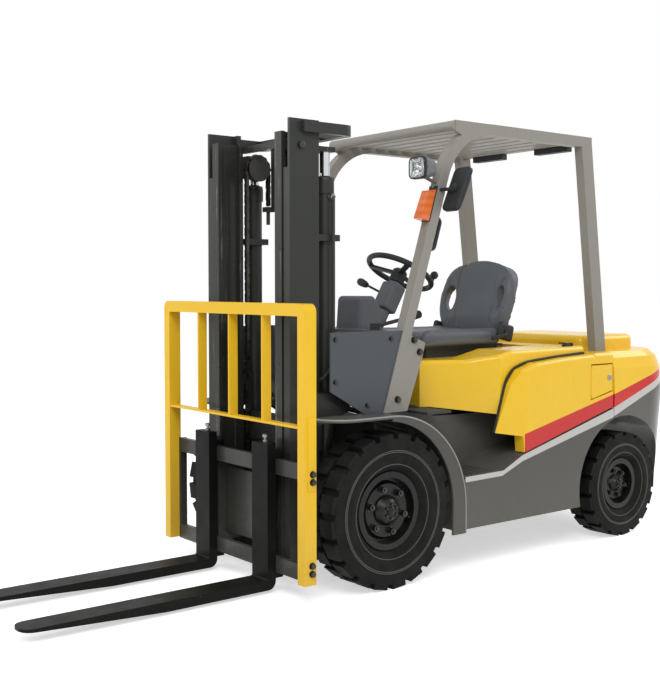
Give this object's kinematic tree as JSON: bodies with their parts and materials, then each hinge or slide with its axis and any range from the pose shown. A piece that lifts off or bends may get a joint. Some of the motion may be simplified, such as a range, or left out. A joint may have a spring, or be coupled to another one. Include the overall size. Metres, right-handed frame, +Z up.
{
  "type": "counterbalance forklift truck",
  "caption": "Four-wheel counterbalance forklift with a two-stage mast, fork carriage with load backrest, driver's seat under an overhead guard and a rear-steer axle.",
  "frame": {"origin": "on the floor, below the middle of the truck's overall length and width", "axes": "-Y forwards along the forks, +X to the truck's left, +Z up"},
  "size_m": [1.21, 3.622, 2.071],
  "materials": {
    "yellow_paint": "gloss paint",
    "grey_paint": "satin paint",
    "guard_paint": "satin paint",
    "cowl_paint": "satin paint",
    "mast_paint": "satin paint",
    "tyre_rubber": "matt",
    "rim_paint": "satin paint",
    "bare_steel": "oiled",
    "rod_chrome": "polished",
    "cast_grey": "painted casting",
    "black_plastic": "fine grain",
    "seat_vinyl": "grained vinyl",
    "clear_lens": "clear lens in a dark housing",
    "orange_lens": "ribbed lens",
    "red_lens": "ribbed lens"
  },
  "bodies": {
    "chassis": {"frame": "grey_paint", "front_fenders": "grey_paint", "floor_plate": "black_plastic", "cowl": "cowl_paint", "dash_console": "black_plastic", "driver_controls": "black_plastic", "overhead_guard": "guard_paint", "side_panel_left": "yellow_paint", "side_panel_right": "yellow_paint", "counterweight": "yellow_paint", "tow_hitch": "cast_grey", "rear_grille": "black_plastic", "engine_block": "cast_grey", "drive_axle": "cast_grey", "steer_axle": "cast_grey", "engine_hood": "yellow_paint", "seat_base": "black_plastic", "seat_cushion": "seat_vinyl", "seat_back": "seat_vinyl", "headlamps": "clear_lens", "turn_signals": "orange_lens", "rear_lamps": "red_lens", "mirrors": "black_plastic"},
    "steering_wheel": {"steering_wheel": "black_plastic"},
    "fuel_door": {"fuel_door": "yellow_paint"},
    "front_wheel_left": {"front_tyre_left": "tyre_rubber", "front_rim_left": "rim_paint"},
    "front_wheel_right": {"front_tyre_right": "tyre_rubber", "front_rim_right": "rim_paint"},
    "knuckle_left": {"knuckle_left": "cast_grey"},
    "knuckle_right": {"knuckle_right": "cast_grey"},
    "rear_wheel_left": {"rear_tyre_left": "tyre_rubber", "rear_rim_left": "rim_paint"},
    "rear_wheel_right": {"rear_tyre_right": "tyre_rubber", "rear_rim_right": "rim_paint"},
    "mast": {"outer_mast": "mast_paint", "lift_cylinders": "mast_paint", "mast_pipes": "black_plastic"},
    "inner_mast": {"inner_mast": "mast_paint", "lift_rods": "rod_chrome", "chain_sheaves": "bare_steel", "lift_chains": "bare_steel"},
    "carriage": {"carriage": "mast_paint", "load_backrest": "yellow_paint"},
    "fork_left": {"fork_left": "mast_paint"},
    "fork_right": {"fork_right": "mast_paint"},
    "tilt_barrels": {"tilt_barrels": "mast_paint"},
    "tilt_rods": {"tilt_rods": "rod_chrome"}
  },
  "joints": [
    {"name": "mast_tilt", "type": "hinge", "parent": "chassis", "child": "mast", "pos_m": [0, -0.279, 0.337], "axis": [-1, 0, 0], "range_deg": [-6, 12]},
    {"name": "mast_lift", "type": "slide", "parent": "mast", "child": "inner_mast", "axis": [0, 0, 1], "range_m": [0, 1.472], "deforming": ["lift_chains"]},
    {"name": "carriage_lift", "type": "slide", "parent": "inner_mast", "child": "carriage", "axis": [0, 0, 1], "range_m": [0, 1.472]},
    {"name": "fork_left_shift", "type": "slide", "parent": "carriage", "child": "fork_left", "axis": [1, 0, 0], "range_m": [-0.165, 0.2]},
    {"name": "fork_right_shift", "type": "slide", "parent": "carriage", "child": "fork_right", "axis": [-1, 0, 0], "range_m": [-0.165, 0.2]},
    {"name": "tilt_barrel_swing", "type": "hinge", "parent": "chassis", "child": "tilt_barrels", "pos_m": [0, 0.093, 0.64], "axis": [-1, 0, 0], "range_deg": [-4, 7]},
    {"name": "tilt_rod_stroke", "type": "slide", "parent": "tilt_barrels", "child": "tilt_rods", "axis": [0, -0.9604, 0.2786], "range_m": [-0.09, 0.05]},
    {"name": "steer_right", "type": "hinge", "parent": "chassis", "child": "knuckle_right", "pos_m": [-0.38, 1.321, 0.272], "axis": [0, 0, 1], "range_deg": [-65, 65]},
    {"name": "steer_left", "type": "hinge", "parent": "chassis", "child": "knuckle_left", "pos_m": [0.38, 1.321, 0.272], "axis": [0, 0, 1], "range_deg": [-65, 65]},
    {"name": "steering_wheel_turn", "type": "hinge", "parent": "chassis", "child": "steering_wheel", "pos_m": [0, 0.261, 1.376], "axis": [0, 0.5, 0.866], "range_deg": [-720, 720]},
    {"name": "front_wheel_left_spin", "type": "hinge", "parent": "chassis", "child": "front_wheel_left", "pos_m": [0.485, -0.279, 0.337], "axis": [1, 0, 0], "continuous": true},
    {"name": "front_wheel_right_spin", "type": "hinge", "parent": "chassis", "child": "front_wheel_right", "pos_m": [-0.485, -0.279, 0.337], "axis": [1, 0, 0], "continuous": true},
    {"name": "rear_wheel_left_spin", "type": "hinge", "parent": "knuckle_left", "child": "rear_wheel_left", "pos_m": [0.485, 1.321, 0.272], "axis": [1, 0, 0], "continuous": true},
    {"name": "rear_wheel_right_spin", "type": "hinge", "parent": "knuckle_right", "child": "rear_wheel_right", "pos_m": [-0.485, 1.321, 0.272], "axis": [1, 0, 0], "continuous": true},
    {"name": "fuel_door_swing", "type": "hinge", "parent": "chassis", "child": "fuel_door", "pos_m": [0.566, 1.056, 0.82], "axis": [0, 0, -1], "range_deg": [0, 100]}
  ],
  "couplings": [
    {"joint": "carriage_lift", "follows": "mast_lift", "ratio": 1},
    {"joint": "tilt_barrel_swing", "follows": "mast_tilt", "ratio": 0.46456},
    {"joint": "tilt_rod_stroke", "follows": "mast_tilt", "m_per_rad": -0.40269},
    {"joint": "steer_left", "follows": "steer_right", "ratio": 1},
    {"joint": "steering_wheel_turn", "follows": "steer_right", "ratio": -11}
  ]
}
